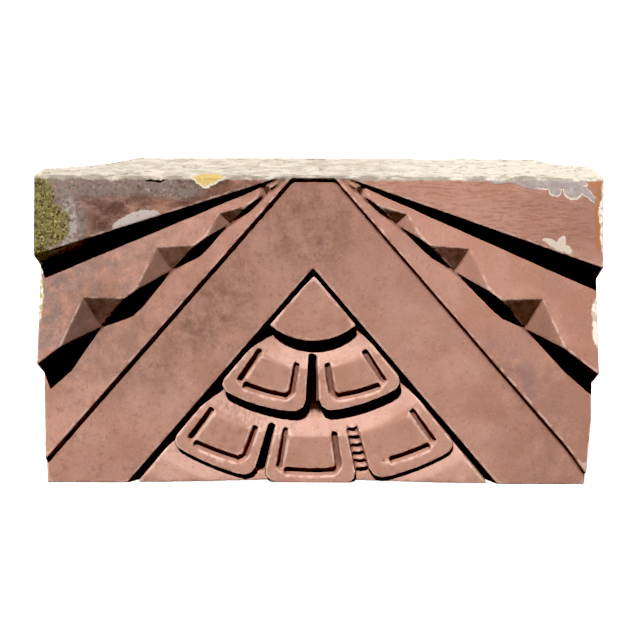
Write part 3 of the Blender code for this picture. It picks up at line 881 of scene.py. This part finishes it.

# Laid from the clay outward. Real grit, trowel streaks and the specks in moss and lichen
# are finer than the picture can show, so here they are drawn coarser. The two near-black
# coats under the steps and in the channels are painted shade, the dark ones on the notches
# are partly soot and partly painted shade, and some lighter coats are painted light.
COATS = (
    Coat("dark clay", "#a67868", (Mottle(52, 0.42, 0.62, 4.0),), 0.30),
    Coat("pale clay", "#cda08d", (Mottle(34, 0.50, 0.68, 4.0, shift=3.1),), 0.35),
    # Painted light: faces that lean downward are made lighter than the clay.
    Coat("painted light on the down-leaning faces", "#dba996", (FRONT, Facing(Axis.HEIGHT, -0.10, -0.40)), 0.75),
    Coat("rain-dulled upper part", "#a0776a", (FRONT, UPPER_PART), 0.34),
    # Darker mottled tone towards the right end, partly painted shade.
    Coat("mottled tone and painted shade at the right end", "#9a7061",
         (FRONT, RIGHT_END, Mottle(30, 0.24, 0.56, 4.0, 0.6, shift=4.4)), 0.72),
    # Painted light: the upward-facing bevels of the scales are made lighter.
    Coat("painted light on the upward bevels", "#dab0a0", (FRONT, BEVELS, Facing(Axis.HEIGHT, 0.02, 0.2)), 0.60),
    # Painted light: the panels are evened to one lit tone.
    Coat("painted light on the panels", "#bf907d", (FRONT, PANELS), 0.85),
    Coat("sooty left half", "#8a6b60",
         (FRONT, LEFT_HALF, Span(Axis.HEIGHT, 40.0, 180.0),
          Mottle(26, 0.38, 0.66, 5.0, 0.68, shift=7.7)), 0.60),
    Coat("sooty left end", "#776a65",
         (FRONT, LEFT_END, Span(Axis.HEIGHT, 60.0, 200.0),
          Mottle(17, 0.32, 0.62, 5.0, 0.7, shift=2.9)), 0.74),
    Coat("grimy left spandrel", "#4c3730",
         (FRONT, LEFT_SPANDREL, Mottle(13, 0.26, 0.58, 5.0, 0.7, (2.0, 1.0, 1.0), 8.2)), 0.88),
    Coat("soot spots", "#6d5048",
         (FRONT, LEFT_WIDE, Mottle(9, 0.48, 0.74, 5.0, 0.7, shift=5.3)), 0.42),
    Coat("soot blotches", "#6b4f44",
         (FRONT, BLOTCHES, Mottle(18, 0.36, 0.70, 5.0, 0.66, shift=6.6)), 0.62),
    Coat("grey bloom on the right", "#84696a",
         (FRONT, Patch((222, -50, 128), (62, 30, 18), 46.0, 0.6),
          Mottle(20, 0.34, 0.64, 5.0, 0.68, shift=1.7)), 0.60),
    Coat("brown bloom on the clay", "#a5745c",
         (FRONT, Mottle(44, 0.46, 0.66, 5.0, 0.62, shift=9.1)), 0.34),
    Coat("fine pale grit", "#dcb2a0", (FRONT, Mottle(2.4, 0.58, 0.74, 2.0, shift=1.3)), 0.22),
    Coat("fine dark grit", "#6a4c41", (FRONT, Mottle(3.1, 0.57, 0.74, 2.0, shift=4.7)), 0.30),
    Coat("wavy trowel streaks", "#8d5d4b",
         (FRONT, RIGHT_SPANDREL, Mottle(2.6, 0.44, 0.66, 3.0, 0.6, (5.0, 1.0, 1.0), turn=9.0)),
         0.42, -0.4),
    Coat("tool ribs", "#9a7466",
         (FRONT, Sector(-27.0, 9.0, 168.0, 190.0),
          Mottle(3.0, 0.46, 0.56, 1.0, 0.5, (1.0, 1.0, 6.0), turn=27.0)), 0.40, -0.3),
    # Darker in the hollows: partly grime, partly painted shade.
    Coat("grime and painted shade in hollows", "#3a2720", (Marked("hollow", 0.25, 1.0),), 0.60),
    # The far notch facets are darkened: partly dust, partly painted shade.
    Coat("dust and painted shade on the far facets", "#8a695c",
         (FRONT, FAR_SIDES, Mottle(12, 0.26, 0.56, 4.0, shift=7.4)), 0.72),
    # The near notch facets are darkened: partly grime and soot, partly painted shade.
    Coat("grime and painted shade in the near facets", "#6b4c40", (FRONT, NEAR_SIDES), 0.66),
    Coat("soot and painted shade in the near facets", "#38251d",
         (FRONT, NEAR_SIDES, Mottle(16, 0.40, 0.64, 5.0, 0.7, shift=2.4)), 0.55),
    Coat("soot and painted shade in the upper notches", "#2c1c16",
         (FRONT, NEAR_SIDES, Span(Axis.HEIGHT, 284.0, 300.0)), 0.55),
    Coat("soot and painted shade in the right near facets", "#3a251c",
         (FRONT, NEAR_SIDES, Span(Axis.WIDTH, 20.0, 40.0)), 0.35),
    # Painted shade: the undersides of the steps are made near-black.
    Coat("painted shade under the steps", "#0a0605", (FRONT, Facing(Axis.HEIGHT, -0.50, -0.62)), 0.98),
    # Painted shade: the deep channel floors in the recess are made near-black.
    Coat("painted shade in the deep channels", "#0a0605",
         (FRONT, Span(Axis.DEPTH, -36.0, -31.0), RECESS, Span(Axis.HEIGHT, 0.4, 3.0)), 0.96),
    Coat("worn arrises", "#ecc9ba",
         (FRONT, Marked("arris", 0.35, 0.9), Mottle(12, 0.38, 0.58, shift=2.2)), 0.60),
    Coat("lichen", "#85766f", (LICHEN, Mottle(8, 0.34, 0.50, 5.0, 0.7, shift=4.1)), 0.86, 0.2),
    Coat("lichen shade", "#574b46", (LICHEN, Mottle(4.2, 0.52, 0.66, 3.0, 0.7, shift=5.7)), 0.6),
    Coat("lichen specks", "#b5ada8", (LICHEN, Mottle(3.4, 0.56, 0.68, 3.0, 0.7, shift=2.7)), 0.6),
    Coat("lichen rim", "#b3aaa0",
         (FRONT, LICHEN_RIM, Mottle(5, 0.40, 0.56, 4.0, 0.7, shift=1.6)), 0.75),
    Coat("moss", "#857b4d", (MOSS, Mottle(6, 0.34, 0.46, 4.0, 0.7, shift=6.4)), 0.95, 0.5),
    Coat("moss shade", "#332c1b", (MOSS, Mottle(3.4, 0.45, 0.60, 4.0, 0.75, shift=8.9)), 0.92),
    Coat("brown in the moss", "#6e5a3e", (MOSS, Mottle(9, 0.50, 0.62, 3.0, 0.7, shift=3.2)), 0.6),
    Coat("moss tips", "#c0b573", (MOSS, Mottle(2.6, 0.58, 0.66, 2.0, 0.6, shift=9.9)), 0.75, 0.3),
    Coat("bare clay over the crack", "#9c6a60",
         (FRONT, Patch((-164, -62, 350), (23, 20, 5.0), 0.0, 0.1)), 0.90),
    Coat("crack", "#0c0705", (FRONT, CRACK), 0.97),
    Coat("scraped patch", "#b9aca6",
         (FRONT, CLEAR_OF_UNDERSIDES, SCRAPE), 0.95, 0.3),
    Coat("stains on the patch", "#8f9272",
         (FRONT, CLEAR_OF_UNDERSIDES, SCRAPE, Mottle(4, 0.55, 0.66, 3.0, shift=1.9)), 0.70),
    Coat("flake rims", "#ddcdbf", (FRONT, FLAKE_RIMS), 0.95),
    Coat("pale flakes", "#9d908c", (FRONT, PALE_FLAKES), 0.97, 0.3),
    Coat("pale flake specks", "#bcb0aa",
         (FRONT, PALE_FLAKES, Mottle(8, 0.40, 0.66, 5.0, 0.75, shift=3.9)), 0.8),
    Coat("bare corner", "#b4764f",
         (FRONT, Patch((296, -66, 345), (11, 20, 7), 20.0, 0.3)), 0.70),
    Coat("cream chip", "#cdbdae", (FRONT, CLEAR_OF_UNDERSIDES, CREAM_CHIP), 0.97),
    Coat("burnt line inside the strips", "#a5704c",
         (FRONT, Patch((300, -84, 309), (5.0, 40, 38), 0.0, 0.1), BELOW_BED), 0.80),
    Coat("cream side strips", "#ecdfd0", (FRONT, EDGE_STRIPS, BELOW_BED), 0.97, 0.2),
    Coat("stains on the strips", "#b89c8b",
         (FRONT, EDGE_STRIPS, BELOW_BED, Mottle(6, 0.50, 0.62, 3.0, shift=5.3)), 0.75),
    Coat("stains on the left strips", "#a9a35c",
         (FRONT, EDGE_STRIPS, Span(Axis.WIDTH, -290.0, -296.0),
          Mottle(7, 0.44, 0.56, 3.0, shift=3.3)), 0.85),
    Coat("raw clay at the back", "#b98e70", (BACK,), 0.85),
    Coat("pale body at the back", "#cdaa8c", (BACK, Mottle(30, 0.45, 0.7, 4.0, shift=9.5)), 0.7),
    Coat("chip rim", "#ddd2c0", (FRONT, CHIP_RIM), 0.95),
    Coat("bed mortar", "#c4b9a8", (UPPER_BED,), 1.0, 0.3),
    Coat("bed lime", "#e0d5c5",
         (UPPER_BED, Mottle(26, 0.40, 0.58, 4.0, 0.6, shift=6.1)), 0.85),
    Coat("lime on the right of the bed", "#e9dfcf",
         (UPPER_BED, Span(Axis.WIDTH, 20.0, 180.0)), 0.60),
    Coat("bed grime", "#857b6d",
         (UPPER_BED, Mottle(14, 0.52, 0.68, 5.0, 0.72, shift=3.7)), 0.80),
    Coat("moss on the bed", "#8a7f4e",
         (UPPER_BED, Mottle(11, 0.60, 0.68, 4.0, 0.7, shift=2.1)), 0.70),
    Coat("soot along the front of the bed", "#85796e",
         (UPPER_BED, Span(Axis.DEPTH, -46.0, -58.0), Mottle(16, 0.36, 0.56, 4.0, shift=8.3)), 0.7),
    Coat("yellow chip", "#cfb266", (FRONT, CHIP), 0.92),
    Coat("pale grain in the chip", "#e2cd8e",
         (FRONT, CHIP, Mottle(5, 0.48, 0.62, 3.0, 0.7, shift=2.6)), 0.60),
)


@dataclass(frozen=True)
class WeatheredTerracotta:
    """Pressed terracotta with a thin red-brown face coat, left outdoors.

    The eye gets a dull, chalky brick red that drifts in tone, fine grit, dirt and painted
    shade in the hollows, paler arrises, and lichen, moss and old mortar where each one sits.
    Some faces carry painted light or painted shade as well.
    """

    name: str = "pressed_terracotta"
    ground: str = "#c0917f"
    roughness: float = 0.9
    gloss: float = 0.15
    tear_size: float = 11.0
    tear_reach: float = 9.0
    grit_size: float = 1.8
    grit_height: float = 0.10
    dent_size: float = 7.0
    dent_height: float = 0.22

    def material(self) -> bpy.types.Material:
        """Build the material.

        Returns:
            The finish as a node material.
        """
        material = bpy.data.materials.new(self.name)
        material.use_nodes = True
        tree = material.node_tree
        tree.nodes.clear()
        paint = self._coordinates(tree)
        colour, height = self._coats(paint)
        bump = add_node(tree, "ShaderNodeBump", inputs={
            "Strength": 1.0, "Distance": MM, "Height": self._grit(paint, height),
        })
        shader = add_node(tree, "ShaderNodeBsdfPrincipled", inputs={
            "Base Color": colour,
            "Roughness": self.roughness,
            "Specular IOR Level": self.gloss,
            "Normal": bump.outputs["Normal"],
        })
        add_node(tree, "ShaderNodeOutputMaterial", inputs={"Surface": shader.outputs["BSDF"]})
        return material

    def _coordinates(self, tree: bpy.types.NodeTree) -> Paint:
        """Add the coordinates, and a torn copy of them for ragged edges."""
        place = add_node(tree, "ShaderNodeTexCoord")
        tear = add_node(tree, "ShaderNodeTexNoise", inputs={
            "Vector": place.outputs["Object"], "Scale": 1 / (self.tear_size * MM),
            "Detail": 5.0, "Roughness": 0.65,
        })
        centred = add_node(tree, "ShaderNodeVectorMath", {"operation": "SUBTRACT"}, {
            0: tear.outputs["Color"], 1: (0.5, 0.5, 0.5),
        })
        torn = add_node(tree, "ShaderNodeVectorMath", {"operation": "MULTIPLY_ADD"}, {
            0: centred.outputs["Vector"], 1: (self.tear_reach * MM,) * 3,
            2: place.outputs["Object"],
        })
        return Paint(tree, place.outputs["Object"], torn.outputs["Vector"],
                     place.outputs["Normal"])

    def _coats(self, paint: Paint) -> tuple[Socket, Socket]:
        """Lay all coats over the ground colour.

        Args:
            paint: Finish that gets the nodes.

        Returns:
            The colour and the height in millimetres.
        """
        ground = add_node(paint.tree, "ShaderNodeRGB")
        ground.outputs[0].default_value = linear(self.ground)
        level = add_node(paint.tree, "ShaderNodeValue")
        level.outputs[0].default_value = 0.0
        colour, height = ground.outputs[0], level.outputs[0]
        for coat in COATS:
            cover = coat.cover(paint)
            layer = add_node(paint.tree, "ShaderNodeMix", {"data_type": "RGBA"}, {
                "Factor": cover, "A": colour, "B": linear(coat.colour),
            })
            colour = layer.outputs["Result"]
            if coat.relief:
                raised = add_node(paint.tree, "ShaderNodeMath", {"operation": "MULTIPLY_ADD"}, {
                    0: cover, 1: coat.relief, 2: height,
                })
                height = raised.outputs["Value"]
        return colour, height

    def _grit(self, paint: Paint, height: Socket) -> Socket:
        """Add fine grit and shallow dents to the height.

        Args:
            paint: Finish that gets the nodes.
            height: Height of the coats in millimetres.

        Returns:
            The whole height in millimetres.
        """
        for size, rise in ((self.grit_size, self.grit_height), (self.dent_size, self.dent_height)):
            noise = add_node(paint.tree, "ShaderNodeTexNoise", inputs={
                "Vector": paint.place, "Scale": 1 / (size * MM), "Detail": 3.0,
            })
            raised = add_node(paint.tree, "ShaderNodeMath", {"operation": "MULTIPLY_ADD"}, {
                0: noise.outputs["Fac"], 1: rise, 2: height,
            })
            height = raised.outputs["Value"]
        return height


@dataclass
class Studio:
    """Pale floor, one raking key light, soft light from behind and the camera.

    Lengths are in metres, angles in degrees. The floor glows in front of the block and
    beside it, so that it prints white, and not under the block or straight behind it. The
    key light is hard and the front hardly filled, as in the photograph.
    """

    floor_side: float = 200.0
    floor_colour: str = "#f7f6f4"
    floor_glow: float = 0.95
    under_front: float = -0.056
    under_side: float = 0.290
    black_level: float = 0.022
    key_towards: Vector3 = (-0.2, -1.0, 1.1)
    key_strength: float = 4.6
    key_softness: float = 1.2
    front_light: float = 0.035
    back_light: float = 1.0
    camera_place: Vector3 = (0.0005, -1.6139, 0.5626)
    camera_pitch: float = 13.466
    camera_yaw: float = 0.047
    camera_roll: float = 0.248
    focal_pixels: float = 1457.0
    sensor: float = 36.0

    def build(self) -> None:
        """Set up the whole studio."""
        self._floor()
        self._key()
        self._surround()
        self._camera()
        self._exposure()

    def _floor(self) -> None:
        """Lay the pale floor under the block."""
        bpy.ops.object.select_all(action="DESELECT")
        bpy.ops.mesh.primitive_plane_add(size=self.floor_side)
        floor = bpy.context.active_object
        floor.name = "studio_floor"
        floor.visible_diffuse = False
        material = bpy.data.materials.new("studio_floor_paint")
        material.use_nodes = True
        shader = material.node_tree.nodes["Principled BSDF"]
        shader.inputs["Base Color"].default_value = linear(self.floor_colour)
        shader.inputs["Roughness"].default_value = 1.0
        shader.inputs["Specular IOR Level"].default_value = 0.0
        shader.inputs["Emission Color"].default_value = linear(self.floor_colour)
        place = add_node(material.node_tree, "ShaderNodeTexCoord")
        split = add_node(material.node_tree, "ShaderNodeSeparateXYZ", inputs={
            "Vector": place.outputs["Object"],
        })
        sideways = add_node(material.node_tree, "ShaderNodeMath", {"operation": "ABSOLUTE"}, {
            0: split.outputs["X"],
        })
        beside = add_node(material.node_tree, "ShaderNodeMath", {"operation": "GREATER_THAN"}, {
            0: sideways.outputs["Value"], 1: self.under_side,
        })
        before = add_node(material.node_tree, "ShaderNodeMath", {"operation": "LESS_THAN"}, {
            0: split.outputs["Y"], 1: self.under_front,
        })
        open_floor = add_node(material.node_tree, "ShaderNodeMath", {"operation": "MAXIMUM"}, {
            0: beside.outputs["Value"], 1: before.outputs["Value"],
        })
        glow = add_node(material.node_tree, "ShaderNodeMath", {"operation": "MULTIPLY"}, {
            0: open_floor.outputs["Value"], 1: self.floor_glow,
        })
        material.node_tree.links.new(glow.outputs["Value"], shader.inputs["Emission Strength"])
        floor.data.materials.append(material)

    def _key(self) -> None:
        """Add the key light, high and a little to the left of the camera."""
        light = bpy.data.lights.new("key_light", "SUN")
        light.energy = self.key_strength
        light.angle = math.radians(self.key_softness)
        key = bpy.data.objects.new("key_light", light)
        x, y, z = self.key_towards
        key.rotation_euler = (math.atan2(math.hypot(x, y), z), 0.0, math.atan2(x, -y))
        bpy.context.scene.collection.objects.link(key)

    def _surround(self) -> None:
        """Light the back and the sides softly, and the front hardly at all."""
        world = bpy.data.worlds.new("studio_surround")
        world.use_nodes = True
        bpy.context.scene.world = world
        tree = world.node_tree
        tree.nodes.clear()
        direction = add_node(tree, "ShaderNodeTexCoord")
        split = add_node(tree, "ShaderNodeSeparateXYZ", inputs={
            "Vector": direction.outputs["Generated"],
        })
        behind = add_node(tree, "ShaderNodeMapRange", {"interpolation_type": "SMOOTHSTEP"}, {
            "Value": split.outputs["Y"], "From Min": 0.05, "From Max": 0.9,
            "To Min": self.front_light, "To Max": self.back_light,
        })
        above = add_node(tree, "ShaderNodeMapRange", inputs={
            "Value": split.outputs["Z"], "From Min": -0.15, "From Max": 0.1,
        })
        glow = add_node(tree, "ShaderNodeMath", {"operation": "MULTIPLY"}, {
            0: behind.outputs["Result"], 1: above.outputs["Result"],
        })
        path = add_node(tree, "ShaderNodeLightPath")
        seen = add_node(tree, "ShaderNodeMath", {"operation": "MAXIMUM"}, {
            0: glow.outputs["Value"], 1: path.outputs["Is Camera Ray"],
        })
        light = add_node(tree, "ShaderNodeBackground", inputs={
            "Color": linear("#ffffff"), "Strength": seen.outputs["Value"],
        })
        add_node(tree, "ShaderNodeOutputWorld", inputs={"Surface": light.outputs["Background"]})

    def _camera(self) -> None:
        """Add the camera at the photograph's angle."""
        lens = bpy.data.cameras.new("camera")
        lens.sensor_width = self.sensor
        lens.lens = self.focal_pixels * self.sensor / PHOTO_SIDE
        lens.clip_end = 4 * self.floor_side
        camera = bpy.data.objects.new("camera", lens)
        camera.location = self.camera_place
        aim = [math.radians(value) for value in (90 - self.camera_pitch, 0.0, -self.camera_yaw)]
        camera.rotation_euler = aim
        bpy.context.scene.collection.objects.link(camera)
        bpy.context.view_layer.update()
        camera.rotation_mode = "XYZ"
        roll = math.radians(self.camera_roll)
        turn = camera.matrix_world.to_3x3()
        tilted = turn @ turn.Rotation(roll, 3, "Z")
        camera.rotation_euler = tilted.to_euler("XYZ")
        bpy.context.scene.camera = camera

    def _exposure(self) -> None:
        """Print the picture with the photograph's deep blacks."""
        view = bpy.context.scene.view_settings
        view.view_transform = "Standard"
        view.use_curve_mapping = True
        view.curve_mapping.black_level = (self.black_level,) * 3
        view.curve_mapping.update()


def main() -> None:
    """Build, dress and place every piece, then the studio."""
    logging.basicConfig(level=logging.INFO, format="%(name)s: %(message)s")
    block = WeatheredBlock()
    piece = block.build()
    block.dress(WeatheredTerracotta().material())
    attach(piece, "root")
    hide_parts(block.stands_for)
    log.info("%s: %d triangles", piece.name, len(piece.data.polygons))
    Studio().build()
    log.info("studio: floor, key light, surround and camera")


if __name__ == "__main__":
    main()
